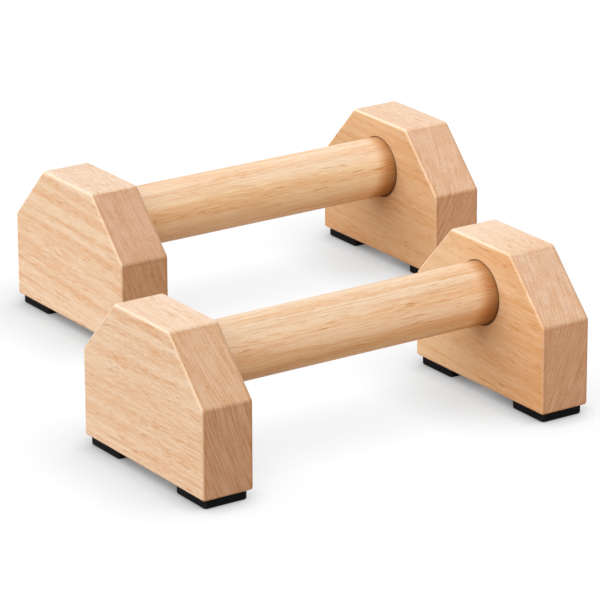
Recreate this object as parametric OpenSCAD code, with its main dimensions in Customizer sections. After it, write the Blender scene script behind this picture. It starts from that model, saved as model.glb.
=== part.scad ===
// A matched pair of low wooden parallette bars, standing side by side.
// Each bar is a round grip glued into two end blocks with cut-off shoulders, locked by a
// hidden wood screw at each end, on rubber feet stuck under the blocks.
// X runs along the grips, Y from the front bar to the rear bar and Z up from the floor.
// The origin is on the floor, at the centre of the pair.

/* [Grip bar] */
// Diameter of the round grip
grip_d = 40; // [34:0.5:46]
// Clear length of grip between the two end blocks
grip_clear_l = 210; // [170:1:320]
// Height of the grip's axis above the underside of its blocks
grip_axis_h = 61; // [54:0.5:64]
// Chamfer on the hidden ends of the grip
grip_end_chamfer = 1; // [0.5:0.1:2]

/* [End block] */
// Width of a block, across the grip
block_w = 132; // [120:1:160]
// Thickness of a block, along the grip
block_t = 35; // [32:0.5:45]
// Height of a block, without its feet
block_h = 94; // [90:0.5:110]
// Height of a block's upright sides, up to the sloping shoulders
side_h = 56; // [48:0.5:64]
// How far each sloping shoulder runs in from the side
shoulder_w = 36; // [26:0.5:38]
// Radius on all edges of a block
edge_r = 2; // [1:0.25:3]

/* [Socket] */
// Depth of the blind socket that takes the end of the grip
socket_depth = 25; // [22:0.5:27]
// Room for glue around the grip and behind its end
glue_gap = 0.1; // [0.05:0.05:0.3]
// Chamfer round the mouth of the socket
socket_chamfer = 0.6; // [0.3:0.1:1]

/* [Lock screw] */
// Diameter of the screw's shank
screw_d = 5; // [4:0.5:6]
// Length of the screw, head included
screw_l = 45; // [40:1:50]
// Diameter of the countersunk head
screw_head_d = 10; // [8.5:0.5:11]
// Length of the screw's point
screw_point_l = 6; // [4:0.5:8]
// How far the head is sunk above the underside of the block
screw_sunk = 14; // [10:0.5:18]
// Depth of the cross recess in the head
recess_depth = 2.2; // [1.5:0.1:3]
// Width of each slot of the cross recess
recess_slot_w = 1.2; // [0.8:0.1:1.6]
// Length of each slot of the cross recess
recess_slot_l = 5; // [4:0.25:6]
// Clearance between the screw and the wood round it
screw_gap = 0.05; // [0.05:0.05:0.1]

/* [Feet] */
// Length of a foot, across the grip
foot_l = 32; // [22:0.5:40]
// Thickness of a foot's rubber
foot_h = 5.5; // [3:0.5:9]
// Distance from the edges of the block in to the foot
foot_inset = 2.5; // [2:0.25:5]
// Radius on the upright corners of a foot
foot_corner_r = 2.5; // [1.5:0.25:5]
// Bevel round the bottom of a foot
foot_bevel = 1.2; // [0.4:0.1:1.6]
// Thickness of the adhesive tape over a foot
tape_h = 0.5; // [0.3:0.1:1]
// Distance from the edges of the foot in to its tape
tape_inset = 1; // [0.5:0.25:1.25]

/* [Pair] */
// Distance between the axes of the two grips
pair_spacing = 245; // [200:1:600]
// How far the rear bar stands to the right of the front bar
pair_shift = 97; // [0:1:150]

/* [Hidden] */
$fn = 96;
edge_fn = 16;   // facets round a rounded edge
overshoot = 1;  // how far a cutting tool runs past the face it cuts

BARS = ["front", "rear"];
SIDES = ["left", "right"];
PLACES = ["outer", "inner"];

// Heights above the floor
block_z = foot_h + tape_h;
axis_z = block_z + grip_axis_h;

// Places along the grip, measured from its middle
inner_face_x = grip_clear_l / 2;
socket_end_x = inner_face_x + socket_depth;
screw_x = inner_face_x + socket_depth / 2;
block_mid_x = inner_face_x + block_t / 2;

grip_l = 2 * (socket_end_x - glue_gap);
socket_d = grip_d + 2 * glue_gap;
screw_head_h = (screw_head_d - screw_d) / 2; // a right-angled countersink
foot_w = block_t - 2 * foot_inset;
foot_mid_y = block_w / 2 - foot_inset - foot_l / 2;

// Front is towards -Y and left is towards -X
function y_side(bar) = bar == "front" ? -1 : 1;
function x_side(side) = side == "left" ? -1 : 1;
// An outer foot is on the side away from the other bar
function foot_side(bar, place) = y_side(bar) * (place == "outer" ? 1 : -1);

// A ball whose poles and sides lie at exactly its radius
module ball(r) {
    rotate_extrude($fn = edge_fn)
        intersection() {
            circle(r, $fn = edge_fn);
            translate([0, -r]) square([r, 2 * r]);
        }
}

// A flat pad with rounded corners, lying on the XY plane
module pad(w, l, h, r, bevel = 0) {
    module outline(inset)
        for (x = [-1, 1], y = [-1, 1])
            translate([x * (w / 2 - r), y * (l / 2 - r)])
                circle(r - inset, $fn = edge_fn);
    hull() {
        translate([0, 0, bevel]) linear_extrude(h - bevel) outline(0);
        linear_extrude(h) outline(bevel);
    }
}

// The outline of a block, seen along the grip
module block_outline() {
    polygon([
        [-block_w / 2, 0],
        [block_w / 2, 0],
        [block_w / 2, side_h],
        [block_w / 2 - shoulder_w, block_h],
        [-block_w / 2 + shoulder_w, block_h],
        [-block_w / 2, side_h]
    ]);
}

// Puts a shape that is drawn along +Z along +X
module along_x() {
    rotate([0, 90, 0]) children();
}

// What the screw needs cut out of the wood, drawn from its head upwards
module screw_hole() {
    translate([0, 0, -screw_sunk - overshoot])
        cylinder(h = screw_sunk + overshoot, d = screw_head_d + 2 * screw_gap);
    cylinder(h = screw_head_h, d1 = screw_head_d + 2 * screw_gap, d2 = screw_d + 2 * screw_gap);
    cylinder(h = screw_l + screw_gap, d = screw_d + 2 * screw_gap);
}

module grip_bar() {
    r = grip_d / 2;
    color("burlywood")
        translate([0, 0, axis_z])
            difference() {
                along_x()
                    rotate_extrude()
                        polygon([
                            [0, -grip_l / 2],
                            [r - grip_end_chamfer, -grip_l / 2],
                            [r, -grip_l / 2 + grip_end_chamfer],
                            [r, grip_l / 2 - grip_end_chamfer],
                            [r - grip_end_chamfer, grip_l / 2],
                            [0, grip_l / 2]
                        ]);
                for (side = SIDES)
                    translate([x_side(side) * screw_x, 0, screw_sunk - grip_axis_h])
                        screw_hole();
            }
}

// The right-hand block; the left one mirrors it
module end_block() {
    color("wheat")
        translate([0, 0, block_z])
            difference() {
                translate([inner_face_x + edge_r, 0, 0])
                    rotate([90, 0, 90])
                        minkowski() {
                            linear_extrude(block_t - 2 * edge_r)
                                offset(delta = -edge_r) block_outline();
                            ball(edge_r);
                        }
                translate([inner_face_x - overshoot, 0, grip_axis_h])
                    along_x() cylinder(h = socket_depth + overshoot, d = socket_d);
                translate([inner_face_x, 0, grip_axis_h])
                    along_x()
                        cylinder(h = socket_chamfer, d1 = socket_d + 2 * socket_chamfer, d2 = socket_d);
                translate([screw_x, 0, screw_sunk]) screw_hole();
            }
}

module lock_screw() {
    shank_l = screw_l - screw_point_l;
    color("silver")
        translate([screw_x, 0, block_z + screw_sunk])
            difference() {
                union() {
                    cylinder(h = screw_head_h, d1 = screw_head_d, d2 = screw_d);
                    cylinder(h = shank_l, d = screw_d);
                    translate([0, 0, shank_l]) cylinder(h = screw_point_l, d1 = screw_d, d2 = 0);
                }
                for (turn = [0, 90])
                    rotate([0, 0, turn])
                        translate([-recess_slot_l / 2, -recess_slot_w / 2, -overshoot])
                            cube([recess_slot_l, recess_slot_w, recess_depth + overshoot]);
            }
}

// A foot stands under the block's edge at +Y or -Y
module foot(y) {
    color("dimgray")
        translate([block_mid_x, y * foot_mid_y, 0])
            pad(foot_w, foot_l, foot_h, foot_corner_r, foot_bevel);
}

module foot_tape(y) {
    color("gray")
        translate([block_mid_x, y * foot_mid_y, foot_h])
            pad(foot_w - 2 * tape_inset, foot_l - 2 * tape_inset, tape_h, foot_corner_r - tape_inset);
}

// Stands a bar's pieces at its place in the pair
module in_pair(bar) {
    translate([y_side(bar) * pair_shift / 2, y_side(bar) * pair_spacing / 2, 0]) children();
}

// Puts a right-hand piece at either end of a bar
module at_end(bar, side) {
    in_pair(bar) mirror([side == "left" ? 1 : 0, 0, 0]) children();
}

for (bar = BARS) {
    in_pair(bar) grip_bar();
    for (side = SIDES) {
        at_end(bar, side) end_block();
        at_end(bar, side) lock_screw();
        for (place = PLACES) {
            name = str(bar, "_", side, "_", place);
            at_end(bar, side) foot(foot_side(bar, place));
            at_end(bar, side) foot_tape(foot_side(bar, place));
        }
    }
}
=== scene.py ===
# A matched pair of low beech parallette bars: each is a round grip glued into two shouldered
# end blocks, with a lock screw at each end and flat rubber feet. Metres, in the part's frame.
import math

import bmesh
import bpy
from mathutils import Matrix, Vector, noise


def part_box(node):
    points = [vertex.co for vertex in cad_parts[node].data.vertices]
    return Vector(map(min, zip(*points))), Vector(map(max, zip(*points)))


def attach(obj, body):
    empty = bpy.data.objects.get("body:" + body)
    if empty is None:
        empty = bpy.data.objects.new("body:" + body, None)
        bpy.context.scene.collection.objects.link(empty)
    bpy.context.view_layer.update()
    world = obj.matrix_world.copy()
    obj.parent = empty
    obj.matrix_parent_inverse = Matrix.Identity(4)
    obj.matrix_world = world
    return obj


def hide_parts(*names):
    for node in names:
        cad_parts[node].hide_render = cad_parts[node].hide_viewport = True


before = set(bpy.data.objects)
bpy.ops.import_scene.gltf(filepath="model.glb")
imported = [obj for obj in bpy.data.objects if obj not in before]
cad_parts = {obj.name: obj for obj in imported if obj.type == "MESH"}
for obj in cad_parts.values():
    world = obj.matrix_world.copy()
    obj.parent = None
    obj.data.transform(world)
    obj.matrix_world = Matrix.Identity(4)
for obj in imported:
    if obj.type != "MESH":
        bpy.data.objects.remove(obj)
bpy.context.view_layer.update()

mm = 0.001
xAxis, yAxis, zAxis = Vector((1, 0, 0)), Vector((0, 1, 0)), Vector((0, 0, 1))
barNames = ("front", "rear")
endSigns = {"left": -1, "right": 1}
footPlaces = ("outer", "inner")


# Shader maths in plain Python
def operator(kind, reflected=False):
    def apply(self, other):
        first, second = (other, self) if reflected else (self, other)
        return self.shader.maths(kind, first, second)
    return apply


class Socket:
    # One output of a node; an expression on it adds the nodes that work it out
    def __init__(self, shader, output):
        self.shader = shader
        self.output = output

    __add__ = operator("ADD")
    __radd__ = operator("ADD", reflected=True)
    __sub__ = operator("SUBTRACT")
    __rsub__ = operator("SUBTRACT", reflected=True)
    __mul__ = operator("MULTIPLY")
    __rmul__ = operator("MULTIPLY", reflected=True)
    __pow__ = operator("POWER")
    __rpow__ = operator("POWER", reflected=True)

    def hasParts(self):
        return self.output.type in ("VECTOR", "RGBA")


class Shader:
    def __init__(self, owner):
        owner.use_nodes = True
        self.owner = owner
        self.tree = owner.node_tree
        self.tree.nodes.clear()

    # Any node: its settings first, then a value or a link for each socket that is named
    def node(self, kind, settings=None, sockets=None, output=None):
        made = self.tree.nodes.new("ShaderNode" + kind)
        for key, value in (settings or {}).items():
            setattr(made, key, value)
        for key, value in (sockets or {}).items():
            named = [s for s in made.inputs if s.enabled and s.name == key]
            self.feed(named[0] if named else made.inputs[key], value)
        outputs = [s for s in made.outputs if s.enabled and output in (None, s.name)]
        return Socket(self, outputs[0]) if outputs else None

    def feed(self, target, value):
        if isinstance(value, Socket):
            self.tree.links.new(value.output, target)
        elif target.type == "RGBA":
            target.default_value = (*value, 1)
        elif target.type == "VECTOR" and isinstance(value, (int, float)):
            target.default_value = (value, value, value)
        else:
            target.default_value = value

    def maths(self, kind, first, second=0.0):
        sides = (first, second)
        parts = any(v.hasParts() if isinstance(v, Socket) else isinstance(v, Vector) for v in sides)
        return self.node("VectorMath" if parts else "Math", {"operation": kind}, dict(enumerate(sides)))

    def dot(self, first, second):
        return self.node("VectorMath", {"operation": "DOT_PRODUCT"}, {0: first, 1: second}, "Value")

    def vector(self, x, y, z):
        return self.node("CombineXYZ", None, {"X": x, "Y": y, "Z": z})

    def noise(self, place, detail=2.0, roughness=0.5):
        sockets = {"Vector": place, "Scale": 1.0, "Detail": detail, "Roughness": roughness}
        return self.node("TexNoise", None, sockets)

    # 0 below low, 1 above high, with a soft change between them; low above high turns it round
    def step(self, value, low, high):
        span = (low, high, 0.0, 1.0) if low < high else (high, low, 1.0, 0.0)
        sockets = dict(zip(("Value", "From Min", "From Max", "To Min", "To Max"), (value, *span)))
        return self.node("MapRange", {"interpolation_type": "SMOOTHSTEP"}, sockets)

    def mix(self, share, first, second):
        return self.node("Mix", {"data_type": "RGBA"}, {"Factor": share, "A": first, "B": second})

    # The colour times a tint, as far as the share goes
    def tint(self, share, colour, tint):
        return self.mix(share, colour, colour * Vector(tint))

    def clamp(self, value):
        return self.maths("MINIMUM", self.maths("MAXIMUM", value, 0.0), 1.0)

    # The object's own coordinates, in millimetres
    def place(self, origin=Vector((0, 0, 0))):
        return (self.node("TexCoord", None, None, "Object") - origin) * (1 / mm)

    # How much a point belongs to a rounded edge, from the mesh
    def edge(self):
        return self.node("Attribute", {"attribute_name": "edge"}, None, "Fac")

    def bump(self, strength, depth, height):
        return self.node("Bump", None, {"Strength": strength, "Distance": depth, "Height": height})

    def paint(self, surface):
        return self.finish(self.node("BsdfPrincipled", None, surface))

    def finish(self, surface):
        isWorld = isinstance(self.owner, bpy.types.World)
        self.node("OutputWorld" if isWorld else "OutputMaterial", None, {"Surface": surface})
        return self.owner


def newShader(name):
    return Shader(bpy.data.materials.new(name))


# Beech, seen as a solid. A cell is a pattern's size across the growth rings, along them and
# along the grain, and a size is its width and its length along the grain, all in mm.
beech = {
    "light": (0.865, 0.665, 0.480),
    "dark": (0.70, 0.355, 0.145),
    "fleck": (0.70, 0.46, 0.29),      # tint of a fleck
    "endGrain": (0.81, 0.69, 0.61),   # tint of end grain
    "edge": (0.98, 0.86, 0.70),       # sanded edges are paler, and painted paler still where they face up, as a highlight
    "plain": 0.28,                    # share of dark in plain wood
    "calmPlain": 0.40,                # and where the figure is calmed
    "weakRing": 0.05,                 # how much darker the late wood of a ring is
    "strongRing": 0.35,
    "lateShare": 0.35,                # late wood in a ring
    "layers": (0.55, 2.15),           # depth on faces along the grain and on end grain
    "streaks": (0.19, 0.03),
    "flecks": (0.55, 0.25),
    "ringWidth": 2.0,
    "ringSpread": 2.4,                # how far the rings crowd or spread, in rings
    "spreadLength": 7.0,
    "spreadSeed": 3.1,
    "warp": 1.0,
    "warpCell": (45, 45, 150),
    "layerCell": (0.8, 24, 40),
    "clusterCell": (10, 10, 30),      # flecks come in clusters
    "sway": 1.9,                      # the grain sways from side to side
    "swayCell": (8, 8, 20),
    "fibreSize": (0.42, 13),
    "streakSize": (0.8, 42),
    "streakRange": (0.46, 0.68),      # noise at which a mark starts and at which it is full
    "bandSize": (7.5, 170),
    "bandRange": (0.38, 0.62),
    "clusterRange": (0.42, 0.58),
    "fleckRange": (0.64, 0.74),
    "roughness": 0.42,
    "specular": 0.16,
    "bump": 0.25,
    "bumpDepth": 0.12 * mm,
    "seedStep": (37.7, 91.3, 53.9),   # each piece is cut from another part of the pattern
}

# How each piece was sawn from its board. ringTilt turns the rings about the grain and grainRise
# lifts the grain, in degrees. pith is how far off the tree's middle lies, in mm. Each face of a
# block and the top and underside of each grip get their own tint: partly the wood's own tone and
# partly painted light and shade, by how the light falls on that face.
boards = {
    "front_left": {
        "ringTilt": 16, "grainRise": 0.0, "pith": -250, "figure": 0.9, "drift": 0.0,
        "tint": (0.935, 1.01, 1.10), "golden": (0.94, 0.85, 0.68), "top": (1.06, 1.045, 1.055),
        "shoulder": (1.01, 0.92, 0.835), "side": (0.965, 0.925, 0.90)},
    "front_right": {
        "ringTilt": -18, "grainRise": 3.9, "pith": 250, "figure": 0.7, "drift": -0.0055,
        "tint": (1.03, 1.06, 1.11), "golden": (0.94, 0.875, 0.74), "top": (0.955, 0.94, 0.935),
        "shoulder": (1.015, 1.045, 1.11), "side": (0.985, 0.99, 0.99)},
    "rear_left": {
        "ringTilt": 16, "grainRise": 3.6, "pith": -230, "figure": 0.65, "drift": 0.0,
        "tint": (0.98, 1.06, 1.15), "golden": (0.94, 0.85, 0.68), "top": (0.995, 0.98, 1.005),
        "shoulder": (0.92, 0.795, 0.74), "side": (0.93, 0.88, 0.805)},
    "rear_right": {
        "ringTilt": -26, "grainRise": 3.0, "pith": 230, "figure": 0.65, "drift": 0.0,
        "tint": (1.02, 1.03, 1.05), "golden": (0.87, 0.785, 0.645), "top": (0.95, 0.935, 0.96),
        "shoulder": (1.015, 0.985, 0.99), "side": (1.0, 0.98, 0.98)},
    "front_grip": {
        "ringTilt": 60, "grainRise": 0, "pith": 60, "figure": 1.0, "drift": 0.0,
        "tint": (1.13, 1.15, 1.135), "under": (0.87, 0.86, 0.79), "over": (0.865, 0.86, 0.875)},
    "rear_grip": {
        "ringTilt": 20, "grainRise": 0, "pith": 60, "figure": 1.0, "drift": 0.0,
        "tint": (1.15, 1.16, 1.06), "under": (0.96, 1.035, 1.16), "over": (0.91, 0.925, 1.04)},
}


class Timber:
    # A piece in its own axes: u across its rings, v along them and g along the grain, in mm
    def __init__(self, name, board, centre, grain, across, seed):
        shader = newShader(name)
        tilt, rise = math.radians(board["ringTilt"]), math.radians(board["grainRise"])
        along = (grain * math.cos(rise) + zAxis * math.sin(rise)).normalized()
        depth = across * math.cos(tilt) + zAxis * math.sin(tilt)
        depth = (depth - along * depth.dot(along)).normalized()
        self.shader, self.board, self.seed = shader, board, seed
        self.shift = Vector(beech["seedStep"]) * seed
        self.local = shader.place(centre)
        self.u = shader.dot(self.local, depth)
        self.v = shader.dot(self.local, along.cross(depth))
        self.g = shader.dot(self.local, along)
        self.facing = shader.node("TexCoord", None, None, "Normal")
        self.upwards = shader.dot(self.facing, zAxis)
        self.endwards = shader.maths("ABSOLUTE", shader.dot(self.facing, along))
        self.endness = shader.step(self.endwards, 0.42, 1.0)
        self.sway = (shader.noise(self.cells(self.u, beech["swayCell"]), 1.0) - 0.5) * beech["sway"]

    def cells(self, across, cell):
        wide, tall, long = (1 / size for size in cell)
        return self.shader.vector(across * wide, self.v * tall, self.g * long) + self.shift

    # Thin cells that sway with the grain
    def swaying(self, width, length):
        across, beside = self.u + self.sway, self.v + self.sway
        thin = 1 / width
        return self.shader.vector(across * thin, beside * thin, self.g * (1 / length)) + self.shift

    # The bare wood's colour. The figure is fainter as far as calmed goes.
    def figure(self, marks, calmed=None):
        shader, board, endness = self.shader, self.board, self.endness

        def deep(onSide, onEnd):
            return onSide + endness * (onEnd - onSide)

        def marked(place, span, detail=1.0, roughness=0.5):
            return shader.step(shader.noise(place, detail, roughness), *beech[span])

        warp = (shader.noise(self.cells(self.u, beech["warpCell"]), 2.0) - 0.5) * beech["warp"]
        fromPith = self.u + board["pith"] + warp
        radius = shader.maths("SQRT", fromPith * fromPith + self.v * self.v)
        spreadRadius = radius * (1 / beech["spreadLength"])
        spreadPlace = shader.vector(spreadRadius, self.seed * beech["spreadSeed"], 0.0)
        spread = (shader.noise(spreadPlace, 1.0) - 0.5) * beech["ringSpread"]
        ringPlace = radius * (1 / beech["ringWidth"]) + spread
        phase = shader.maths("FRACT", ringPlace)
        ringSeed = shader.maths("FLOOR", ringPlace) + self.seed
        strength = shader.node("TexWhiteNoise", {"noise_dimensions": "1D"}, {"W": ringSeed}, "Value")
        self.late = shader.step(phase, 0.25, 0.9) * shader.step(phase, 1.0, 0.9)
        self.layers = shader.noise(self.cells(radius, beech["layerCell"]), 3.0, 0.6) - 0.5
        self.fibres = shader.noise(self.swaying(*beech["fibreSize"]), 2.0, 0.6) - 0.5
        streaks = marked(self.swaying(*beech["streakSize"]), "streakRange", 3.0, 0.6)
        bands = marked(self.swaying(*beech["bandSize"]), "bandRange") - 0.5
        clusters = marked(self.cells(self.u, beech["clusterCell"]), "clusterRange")
        flecks = marked(self.swaying(*marks["fleckSize"]), "fleckRange") * clusters * marks["fleckShare"]
        planed = shader.step(self.upwards, 0.8, 1.0)

        ringDepth = beech["weakRing"] + strength * strength * (beech["strongRing"] - beech["weakRing"])
        value = beech["plain"] + (self.late - beech["lateShare"]) * ringDepth
        value = value + self.layers * deep(*beech["layers"]) * board["figure"]
        value = value + self.g * (1 - endness) * board["drift"]
        value = value + self.fibres * deep(*marks["fibres"]) + streaks * deep(*beech["streaks"])
        value = value + bands * (deep(*marks["bands"]) - planed * marks["planedBands"])
        value = value + flecks * deep(*beech["flecks"])
        if calmed is not None:
            value = value + calmed * (beech["calmPlain"] - value)
        colour = shader.mix(shader.clamp(value), beech["light"], beech["dark"])
        colour = shader.tint(flecks * (1 - endness * 0.7), colour, beech["fleck"])
        colour = shader.tint(endness, colour, beech["endGrain"])
        colour = colour * (1 - endness * (self.layers * 0.5 + self.fibres * 0.35))
        return colour * Vector(board["tint"])

    # The sanded and oiled surface, with paler edges: sanding wear, and a painted highlight on edges that
    # face up
    def finish(self, colour, roughened=0.0):
        shader, fibres = self.shader, self.fibres
        edge = shader.edge()
        # edges are a little paler from sanding, plus a painted highlight where they face up
        upper = shader.step(self.upwards, 0.3, 0.8)
        wearAndHighlight = edge * edge * edge * (0.06 + upper * 0.34 + fibres * 0.3)
        rough = beech["roughness"] + fibres * 0.12 + self.late * 0.05 - edge * 0.06 + roughened
        relief = fibres * 0.6 + self.layers * 0.25
        return shader.paint({
            "Base Color": shader.mix(wearAndHighlight, colour, beech["edge"]), "Roughness": rough,
            "Normal": shader.bump(beech["bump"], beech["bumpDepth"], relief),
            "Specular IOR Level": beech["specular"]})


# Meshes
samePoint = 1e-4 * mm         # points closer than this are one
edgeSteps = 6                 # facets round a rounded edge
cutterPast = 1 * mm           # a cutter starts this far outside the wood


def newPiece(name, verts, faces, edgeMask=None):
    mesh = bpy.data.meshes.new(name)
    mesh.from_pydata([tuple(v) for v in verts], [], faces)
    if edgeMask:
        mesh.attributes.new("edge", "FLOAT", "POINT").data.foreach_set("value", edgeMask)
    bm = bmesh.new()
    bm.from_mesh(mesh)
    bmesh.ops.remove_doubles(bm, verts=bm.verts, dist=samePoint)
    bmesh.ops.recalc_face_normals(bm, faces=bm.faces)
    bm.to_mesh(mesh)
    bm.free()
    piece = bpy.data.objects.new(name, mesh)
    bpy.context.scene.collection.objects.link(piece)
    return piece


# Rings of points, all of the same count, skinned into a closed body
def skin(rings, capCorners):
    count = len(rings[0])
    verts = [p for ring in rings for p in ring]
    faces = []
    for row in range(len(rings) - 1):
        low, high = row * count, (row + 1) * count
        for k in range(count):
            following = (k + 1) % count
            faces.append((low + k, low + following, high + following, high + k))
    last = (len(rings) - 1) * count
    faces.append(tuple(reversed(capCorners)))
    faces.append(tuple(last + k for k in capCorners))
    return verts, faces


# A prism on a convex outline, with a radius for each corner. A level is (height, inset, how much
# of an edge it is). With a sideStep the sides get points in between, so that an edge stays narrow.
def roundedPrism(outline, radii, levels, place, sideStep=None):
    count = len(outline)
    sides = [(outline[(i + 1) % count] - outline[i]).normalized() for i in range(count)]
    normals = [Vector((s.y, -s.x)) for s in sides]
    turns = [normals[i - 1].angle(normals[i]) for i in range(count)]
    inner = []
    for i in range(count):
        before, after = normals[i - 1], normals[i]
        inner.append(outline[i] - (before + after) * (radii[i] / (1 + before.dot(after))))
    rings, mask, caps = [], [], []
    for height, inset, edge in levels:
        ring = []
        for i in range(count):
            radius = radii[i] - inset
            firstAngle = math.atan2(normals[i - 1].y, normals[i - 1].x)
            sharpness = (turns[i] / (math.pi / 2)) ** 2 * radius / radii[i]
            for k in range(edgeSteps + 1):
                # where the first ring has a sharp corner, its points fall together
                if not rings and (k == 0 or radius > samePoint):
                    caps.append(len(ring))
                angle = firstAngle + turns[i] * k / edgeSteps
                ring.append(inner[i] + Vector((math.cos(angle), math.sin(angle))) * radius)
                mask.append(max(edge, math.sin(math.pi * k / edgeSteps) * sharpness))
            if sideStep:
                following = (i + 1) % count
                start = inner[i] + normals[i] * radius
                onward = inner[following] + normals[i] * (radii[following] - inset) - start
                parts = max(1, round(onward.length / sideStep))
                for k in range(1, parts):
                    if not rings:
                        caps.append(len(ring))
                    ring.append(start + onward * (k / parts))
                    mask.append(edge)
        rings.append([place(p.x, p.y, height) for p in ring])
    verts, faces = skin(rings, caps)
    return verts, faces, mask


# The levels of a prism's rounded rim, from its end face to its full width
def rim(height, radius, upwards):
    levels = []
    for k in range(edgeSteps + 1):
        angle = math.pi / 2 * k / edgeSteps
        rise = radius * (1 - math.cos(angle))
        inset = radius * (1 - math.sin(angle))
        levels.append((height + upwards * rise, inset, math.sin(2 * angle)))
    return levels


# A body turned about an axis from rows of (height, radius); radiusAt may vary it round the axis
def turned(name, rows, origin, axis, segments, radiusAt=None):
    first = axis.orthogonal().normalized()
    second = axis.cross(first)
    rings = []
    for height, radius in rows:
        ring = []
        for k in range(segments):
            angle = 2 * math.pi * k / segments
            reach = radiusAt(height, angle, radius) if radiusAt else radius
            outwards = first * math.cos(angle) + second * math.sin(angle)
            ring.append(origin + axis * height + outwards * reach)
        rings.append(ring)
    verts, faces = skin(rings, range(segments))
    return newPiece(name, verts, faces)


def cut(piece, *cutters):
    for cutter in cutters:
        modifier = piece.modifiers.new("cut", "BOOLEAN")
        modifier.operation = "DIFFERENCE"
        modifier.solver = "EXACT"
        modifier.object = cutter
    bpy.context.view_layer.update()
    shaped = piece.evaluated_get(bpy.context.evaluated_depsgraph_get())
    mesh = bpy.data.meshes.new_from_object(shaped)
    mesh.name = piece.name
    piece.modifiers.clear()
    piece.data = mesh
    for cutter in cutters:
        bpy.data.objects.remove(cutter)


def dress(piece, node, body, material, sharpAngle=40):
    piece.data.materials.clear()
    piece.data.materials.append(material)
    piece.data.shade_smooth()
    piece.data.set_sharp_from_angle(angle=math.radians(sharpAngle))
    flat = piece.modifiers.new("flatFaces", "WEIGHTED_NORMAL")
    flat.keep_sharp = True
    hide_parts(node)
    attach(piece, body)


# End blocks
block = {
    "sideHeight": 56 * mm,    # underside up to the sloping shoulders
    "shoulderRun": 36 * mm,   # how far a shoulder runs in from the side
    "edgeRadius": 2 * mm,
    "bluntRadius": 4.5 * mm,  # the blunt edges are sanded rounder
    "sanding": 0.10 * mm,     # how unevenly the edges are sanded
    "sandingWaves": (90, 260),  # broad and fine waves in a metre
    "sideStep": 5 * mm,       # between the points along its sides
    "slices": 6,              # between its inner and its outer face
    "socketRadius": 20.1 * mm,
    "socketDepth": 25 * mm,
    "mouthChamfer": 0.6 * mm,
    "gripHeight": 61 * mm,    # grip's axis above the underside
    "screwIn": 12.5 * mm,     # screw's axis from the inner face
    "screwHead": 10.1 * mm,
    "screwShank": 5.1 * mm,
    "screwSunk": 14 * mm,
    "screwLength": 45 * mm,
    "socketSegments": 96,
    "holeSegments": 48,
    "fibres": (2.1, 1.5),     # depth on faces along the grain and on end grain
    "bands": (0.28, 0.11),
    "planedBands": 0.16,      # how much fainter the bands are on the planed top
    "fleckShare": 0.75,
    "fleckSize": (0.65, 12),
    "calm": 0.22,             # how much fainter the figure is on the inner face
    "glue": (0.10, 0.035, 0.008),
    "glueReach": 0.5,         # mm out from the socket
    "glueSag": (0, 0.3, 0.3),  # mm that the ring is moved down and forwards, so that it is heavier there
    "glueRoughness": 0.5,
    "edgeShade": (0.80, 0.66, 0.48),  # tint of the painted shade on the walls beside an edge
    "edgeShadeDepth": 0.65,
}


def blockMaterial(node, board, seed, innerSide, gripCentre):
    low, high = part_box(node)
    size, centre = (high - low) * (1 / mm), (low + high) / 2
    timber = Timber(node + "Beech", board, centre, yAxis, xAxis, seed)
    shader, local, upwards = timber.shader, timber.local, timber.upwards
    half, top = size.x / 2, size.z / 2
    shoulder = block["sideHeight"] / mm - top
    inner = shader.step(shader.dot(timber.facing, innerSide), 0.75, 1.0)
    colour = timber.figure(block, inner * block["calm"])
    # the inner face is tinted warmer: partly its own tone, partly painted warm light bounced from the
    # grip and the facing block
    colour = shader.tint(inner, colour, board["golden"])

    # painted shade: a dark ring in the crevice round the mouth of the grip's socket, heavier below and in
    # front
    fromGrip = local + (centre - gripCentre) * (1 / mm) + Vector(block["glueSag"])
    reach = shader.node("VectorMath", {"operation": "LENGTH"}, {0: fromGrip * Vector((0, 1, 1))}, "Value")
    glueEdge = block["socketRadius"] / mm + block["glueReach"]
    nearFace = shader.step(shader.dot(local, innerSide), half - 2, half - 1)
    mouth = shader.step(reach, glueEdge + 0.5, glueEdge) * nearFace
    colour = shader.mix(mouth * 0.9, colour, block["glue"])

    # painted shade: the walls are a little darker beside the edges, except on the top
    inwards = half - shader.maths("ABSOLUTE", shader.dot(local, xAxis))
    height = shader.dot(local, zAxis)
    sideways = shader.maths("ABSOLUTE", shader.dot(timber.facing, xAxis))
    wall = shader.step(sideways, 0.8, 0.4) * shader.step(timber.endwards, 0.25, 0.5)
    besideFace = shader.step(inwards, 3.0, 1.2) * shader.step(upwards, 0.95, 0.8)
    belowTop = shader.step(height, top - 3.4, top - 1.8) * shader.step(upwards, 0.92, 0.78)
    belowShoulder = shader.step(height, shoulder - 3.5, shoulder - 1) * shader.step(upwards, 0.45, 0.15)
    belowEdge = shader.maths("MAXIMUM", belowTop * 0.2, belowShoulder * 0.5)
    beside = wall * shader.maths("MAXIMUM", besideFace, belowEdge)
    colour = shader.tint(beside * block["edgeShadeDepth"], colour, block["edgeShade"])

    # each cut gets its own tint: partly the cut's own tone, partly painted light and shade by how the
    # light falls on it
    sloping = shader.step(upwards, 0.45, 0.62) * shader.step(upwards, 0.92, 0.75) * wall
    colour = shader.tint(sloping, colour, board["shoulder"])
    colour = shader.tint(shader.step(upwards, 0.85, 1.0), colour, board["top"])
    colour = shader.tint(shader.step(timber.endwards, 0.8, 0.95), colour, board["side"])
    return timber.finish(colour, mouth * block["glueRoughness"])


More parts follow.
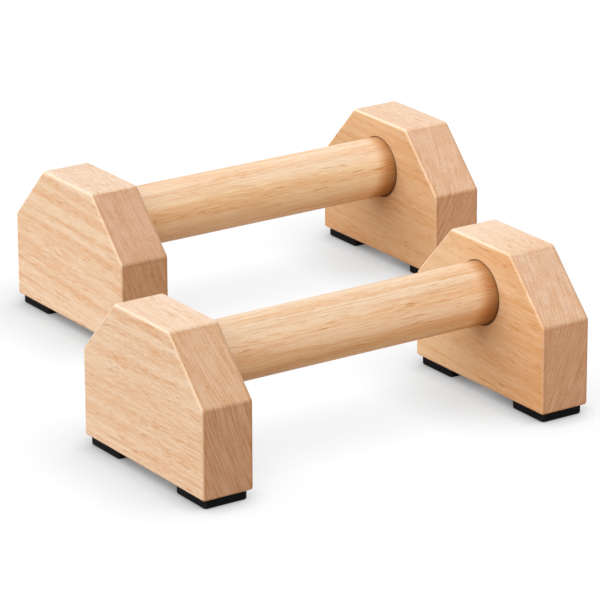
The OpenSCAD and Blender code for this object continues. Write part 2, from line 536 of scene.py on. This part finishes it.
def makeBlock(name, node, end):
    low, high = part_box(node)
    size, centre = high - low, (low + high) / 2
    half, run, upright = size.y / 2, block["shoulderRun"], block["sideHeight"]
    corners = (
        (-half, 0), (half, 0), (half, upright),
        (half - run, size.z), (run - half, size.z), (-half, upright))
    sharp, blunt = block["edgeRadius"], block["bluntRadius"]
    radii = [sharp, sharp, blunt, blunt, blunt, blunt]
    plain = [(low.x + size.x * k / block["slices"], 0.0, 0.0) for k in range(1, block["slices"])]
    levels = rim(low.x, sharp, 1) + plain + rim(high.x, sharp, -1)[::-1]

    def place(y, z, x):
        return Vector((x, centre.y + y, low.z + z))

    outline = [Vector(p) for p in corners]
    verts, faces, mask = roundedPrism(outline, radii, levels, place, sideStep=block["sideStep"])
    broad, fine = block["sandingWaves"]
    for i, (vert, share) in enumerate(zip(verts, mask)):
        if share > 0.01:
            wander = noise.noise(vert * broad) * 0.7 + noise.noise(vert * fine) * 0.3 + 0.4
            verts[i] = vert + (centre - vert).normalized() * (share * block["sanding"] * wander)
    piece = newPiece(name, verts, faces, mask)

    face = low.x if end > 0 else high.x
    chamfer, bore, deep = block["mouthChamfer"], block["socketRadius"], block["socketDepth"]
    socketRows = [
        (-cutterPast, 0), (-cutterPast, bore + chamfer), (0, bore + chamfer),
        (chamfer, bore), (deep, bore), (deep, 0)]
    socketMouth = Vector((face, centre.y, low.z + block["gripHeight"]))
    socket = turned("socketCutter", socketRows, socketMouth, xAxis * end, block["socketSegments"])
    head, shank, sunk = block["screwHead"] / 2, block["screwShank"] / 2, block["screwSunk"]
    tip = sunk + block["screwLength"]
    holeRows = [
        (-cutterPast, 0), (-cutterPast, head), (sunk, head),
        (sunk + head - shank, shank), (tip, shank), (tip, 0)]
    holeMouth = Vector((face + end * block["screwIn"], centre.y, low.z))
    hole = turned("holeCutter", holeRows, holeMouth, zAxis, block["holeSegments"])
    cut(piece, socket, hole)
    return piece


# Grips
grip = {
    "segments": 128,
    "lengths": 24,            # between the rings of points along it
    "endChamfer": 1 * mm,
    "fibres": (1.6, 1.0),     # depth along the grain and on end grain
    "bands": (0.36, 0.36),
    "planedBands": 0.0,
    "fleckShare": 0.72,
    "fleckSize": (0.8, 17),
    "shade": (0.44, 0.43, 0.42),  # painted shade: it darkens towards its block
    "shadeBrown": (0.93, 0.64, 0.38),  # and turns browner, also painted shade
    "shadeReach": 17.5,       # mm from the block
    "shadeInside": 0.5,       # and on into its socket
    "shadeLean": 5,           # less on top and more underneath
}


# clearHalf is half the length of grip between the blocks, in mm
def gripMaterial(node, board, seed, centre, clearHalf):
    timber = Timber(node + "Beech", board, centre, xAxis, yAxis, seed)
    shader, upwards = timber.shader, timber.upwards
    colour = timber.figure(grip)
    # painted shade: the grip darkens and browns towards each block that shades it, less on top and more
    # underneath
    fromMiddle = shader.maths("ABSOLUTE", timber.g) - upwards * grip["shadeLean"]
    nearEnd = shader.step(fromMiddle, clearHalf - grip["shadeReach"], clearHalf + grip["shadeInside"])
    colour = shader.tint(nearEnd, colour, grip["shade"])
    colour = shader.tint(nearEnd * (2 - nearEnd), colour, grip["shadeBrown"])
    # painted light and shade: the grip's underside and top are tinted by how the light falls on them
    colour = shader.tint(shader.step(upwards, 0.1, -0.7), colour, board["under"])
    colour = shader.tint(shader.step(upwards, 0.4, 0.85), colour, board["over"])
    return timber.finish(colour)


def makeGrip(name, node):
    low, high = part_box(node)
    centre = (low + high) / 2
    length, radius, chamfer = high.x - low.x, (high.z - low.z) / 2, grip["endChamfer"]
    rowStep = (length - 2 * chamfer) / grip["lengths"]
    rows = [(0, 0), (0, radius - chamfer)]
    rows += [(chamfer + rowStep * k, radius) for k in range(grip["lengths"] + 1)]
    rows += [(length, radius - chamfer), (length, 0)]
    return turned(name, rows, Vector((low.x, centre.y, centre.z)), xAxis, grip["segments"])


# Feet and their tape
foot = {
    "cornerRadius": 2.5 * mm,
    "bottomRadius": 1.4 * mm,
    "topRadius": 0.3 * mm,
    "colour": (0.0035, 0.0035, 0.004),
    "worn": (0.016, 0.016, 0.017),
    "roughness": 0.55,
    "specular": 0.07,
    "grain": 0.35,            # mm
    "dust": 4.0,
}


def footMaterial():
    shader = newShader("footRubber")
    local = shader.place()
    grain = shader.noise(local * (1 / foot["grain"]), 2.0)
    dust = shader.step(shader.noise(local * (1 / foot["dust"]), 3.0), 0.5, 0.75)
    wear = shader.maths("MAXIMUM", shader.edge() * 0.8, dust * 0.2)
    return shader.paint({
        "Base Color": shader.mix(wear, foot["colour"], foot["worn"]),
        "Roughness": foot["roughness"] + grain * 0.12,
        "Normal": shader.bump(0.35, 0.06 * mm, grain),
        "Specular IOR Level": foot["specular"]})


tape = {
    "cornerRadius": 1.5 * mm,
    "bottomRadius": 0.1 * mm,
    "topRadius": 0.1 * mm,
    "colour": (0.035, 0.035, 0.037),
    "lightCell": (0.07, 0.07, 0.072),
    "cell": 0.3,              # mm
    "roughness": 0.85,
    "specular": 0.2,
}


def tapeMaterial():
    shader = newShader("footTapeFoam")
    foam = shader.noise(shader.place() * (1 / tape["cell"]), 2.0)
    return shader.paint({
        "Base Color": shader.mix(foam, tape["colour"], tape["lightCell"]),
        "Roughness": tape["roughness"],
        "Normal": shader.bump(0.5, 0.05 * mm, foam),
        "Specular IOR Level": tape["specular"]})


def makePad(name, node, pad):
    low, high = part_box(node)
    corners = ((low.x, low.y), (high.x, low.y), (high.x, high.y), (low.x, high.y))
    outline, radii = [Vector(p) for p in corners], [pad["cornerRadius"]] * 4
    levels = rim(low.z, pad["bottomRadius"], 1) + rim(high.z, pad["topRadius"], -1)[::-1]

    def place(x, y, z):
        return Vector((x, y, z))

    verts, faces, mask = roundedPrism(outline, radii, levels, place)
    return newPiece(name, verts, faces, mask)


# Lock screws
screw = {
    "pitch": 2.6 * mm,
    "core": 1.65 * mm,
    "outer": 2.5 * mm,
    "plain": 12 * mm,         # head and shank without a thread
    "tip": 6 * mm,
    "runIn": 1.5 * mm,        # over which the thread rises from the shank
    "ridge": 0.24,            # half the width of the thread's ridge, in pitches
    "headRim": 0.15 * mm,
    "rowStep": 0.26 * mm,
    "segments": 32,
    "sharpAngle": 30,
    "bright": (0.62, 0.61, 0.60),
    "dull": (0.42, 0.40, 0.37),
    "roughness": 0.32,
    "plating": 1.5,           # mm
    "scratches": (0.5, 6.0, 6.0),  # in a mm, each way
}


def screwMaterial():
    shader = newShader("zincSteel")
    local = shader.place()
    plating = shader.noise(local * (1 / screw["plating"]), 3.0)
    scratches = shader.noise(local * Vector(screw["scratches"]), 2.0)
    return shader.paint({
        "Base Color": shader.mix(shader.step(plating, 0.4, 0.7), screw["bright"], screw["dull"]),
        "Roughness": screw["roughness"] + plating * 0.2,
        "Metallic": 1.0,
        "Normal": shader.bump(0.2, 0.02 * mm, scratches)})


def makeScrew(name, node):
    low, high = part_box(node)
    centre, length, headRadius = (low + high) / 2, high.z - low.z, (high.x - low.x) / 2
    outer, core, plain, headRim = screw["outer"], screw["core"], screw["plain"], screw["headRim"]

    def threadRadius(height, angle, radius):
        if height < plain:
            return radius
        turn = (height / screw["pitch"] - angle / (2 * math.pi)) % 1.0
        ridge = max(0.0, 1 - abs(turn - 0.5) / screw["ridge"])
        start = min(1.0, (height - plain) / screw["runIn"])
        taper = min(1.0, (length - height) / screw["tip"])
        return (core + (outer - core) * ridge * start) * taper

    threaded = length - plain
    rowCount = int(threaded / screw["rowStep"])
    rows = [(0, 0), (0, headRadius - headRim), (headRim, headRadius), (headRadius - outer, outer)]
    rows.append((plain, outer))
    rows += [(plain + threaded * (k + 0.5) / rowCount, 0) for k in range(rowCount)]
    rows.append((length, 0))
    origin = Vector((centre.x, centre.y, low.z))
    return turned(name, rows, origin, zAxis, screw["segments"], threadRadius)


print("rubber, tape and steel")
rubberLook, tapeLook, steelLook = footMaterial(), tapeMaterial(), screwMaterial()
seed = 0
for bar in barNames:
    print("building the", bar, "bar")
    body = bar + "_bar"
    node = bar + "_grip_bar"
    low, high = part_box(node)
    gripCentre = (low + high) / 2
    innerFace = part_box(bar + "_right_end_block")[0].x
    seed += 1
    look = gripMaterial(node, boards[bar + "_grip"], seed, gripCentre, (innerFace - gripCentre.x) / mm)
    dress(makeGrip(node + "_beech", node), node, body, look)
    for endName, end in endSigns.items():
        barEnd = f"{bar}_{endName}"
        node = barEnd + "_end_block"
        seed += 1
        look = blockMaterial(node, boards[barEnd], seed, xAxis * -end, gripCentre)
        dress(makeBlock(node + "_beech", node, end), node, body, look)
        node = barEnd + "_lock_screw"
        dress(makeScrew(node + "_steel", node), node, body, steelLook, screw["sharpAngle"])
        for footPlace in footPlaces:
            node = f"{barEnd}_{footPlace}_foot"
            dress(makePad(node + "_rubber", node, foot), node, body, rubberLook)
            node += "_tape"
            dress(makePad(node + "_foam", node, tape), node, body, tapeLook)

# Floor and light
studio = {
    "floorSize": 14.0,
    "floorSeen": (0.10, 0.103, 0.106),   # to the camera and in gloss
    "floorGlow": 0.915,
    "floorBounce": (0.51, 0.32, 0.16),   # the light it throws back
    "shadowReach": 62 * mm,              # how far a piece darkens the floor
    "shadowDepth": 0.42,
    "shadowLean": (0.25, -0.38, 0.89),   # where the softest light on the floor comes from
    "contactReach": 14 * mm,
    "contactDepth": 0.38,
    "shadowSamples": 16,
    "worldSeen": (1.0, 1.0, 1.0),
    "worldLight": (0.50, 0.49, 0.48),
    "keyFrom": (-0.62, 0.08, 0.77),
    "keyStrength": 2.5,
    "keyAngle": 84,
    "fillFrom": (0.0, -0.9, 0.43),
    "fillStrength": 0.4,
    "fillAngle": 90,
}


# 1 for what the camera sees, straight or in gloss, and 0 for light that falls on the object
def seenShare(shader):
    kinds = ("Is Camera Ray", "Is Glossy Ray", "Is Transmission Ray")
    camera, glossy, transmission = (shader.node("LightPath", None, None, kind) for kind in kinds)
    return shader.maths("MINIMUM", camera + glossy + transmission, 1.0)


def floorMaterial():
    shader = newShader("paleFloor")
    seen = seenShare(shader)
    sampled = {"samples": studio["shadowSamples"]}
    lean = shader.vector(*Vector(studio["shadowLean"]).normalized())
    wide = {"Distance": studio["shadowReach"], "Normal": lean}
    shade = shader.node("AmbientOcclusion", sampled, wide, "AO") ** studio["shadowDepth"]
    contact = shader.node("AmbientOcclusion", sampled, {"Distance": studio["contactReach"]}, "AO")
    shade = shade * contact ** studio["contactDepth"]
    return shader.paint({
        "Base Color": shader.mix(seen, studio["floorBounce"], studio["floorSeen"]),
        "Roughness": 1.0, "Specular IOR Level": 0.0,
        "Emission Color": shader.mix(seen * shade, (0, 0, 0), (1, 1, 1)),
        "Emission Strength": studio["floorGlow"]})


print("floor, light and camera")
reach = studio["floorSize"] / 2
corners = [(-reach, -reach, 0), (reach, -reach, 0), (reach, reach, 0), (-reach, reach, 0)]
floor = newPiece("floor", corners, [(0, 1, 2, 3)])
floor.data.materials.append(floorMaterial())

world = bpy.data.worlds.new("studio")
bpy.context.scene.world = world
sky = Shader(world)
skyColour = sky.mix(seenShare(sky), studio["worldLight"], studio["worldSeen"])
sky.finish(sky.node("Background", None, {"Color": skyColour, "Strength": 1.0}))

for lampName in ("key", "fill"):
    light = bpy.data.lights.new(lampName, "SUN")
    light.energy = studio[lampName + "Strength"]
    light.angle = math.radians(studio[lampName + "Angle"])
    lamp = bpy.data.objects.new(lampName, light)
    lamp.rotation_euler = Vector(studio[lampName + "From"]).to_track_quat("Z", "Y").to_euler()
    bpy.context.scene.collection.objects.link(lamp)

# The photograph's view: a long lens, fitted to the blocks' corners and the grips' outlines
photoView = {
    "imageSize": 600,         # pixels, both ways
    "focalPixels": 4066,
    "sensor": 36.0,
    "clip": (0.05, 50),
    "azimuth": -34.0,
    "elevation": 19.47,
    "roll": -0.20,
    "distance": 2.5932,
    "aim": (0.01088, 0.00686, 0.0333),
}
azimuth, elevation = math.radians(photoView["azimuth"]), math.radians(photoView["elevation"])
level = Vector((-math.sin(azimuth), math.cos(azimuth), 0))
forward = level * math.cos(elevation) - zAxis * math.sin(elevation)
lens = bpy.data.cameras.new("photoView")
lens.sensor_width = photoView["sensor"]
lens.lens = photoView["sensor"] * photoView["focalPixels"] / photoView["imageSize"]
lens.clip_start, lens.clip_end = photoView["clip"]
camera = bpy.data.objects.new("photoView", lens)
camera.location = Vector(photoView["aim"]) - forward * photoView["distance"]
camera.rotation_euler = forward.to_track_quat("-Z", "Y").to_euler()
camera.rotation_euler.rotate_axis("Z", math.radians(photoView["roll"]))
bpy.context.scene.collection.objects.link(camera)
bpy.context.scene.camera = camera
bpy.context.scene.view_settings.view_transform = "Standard"
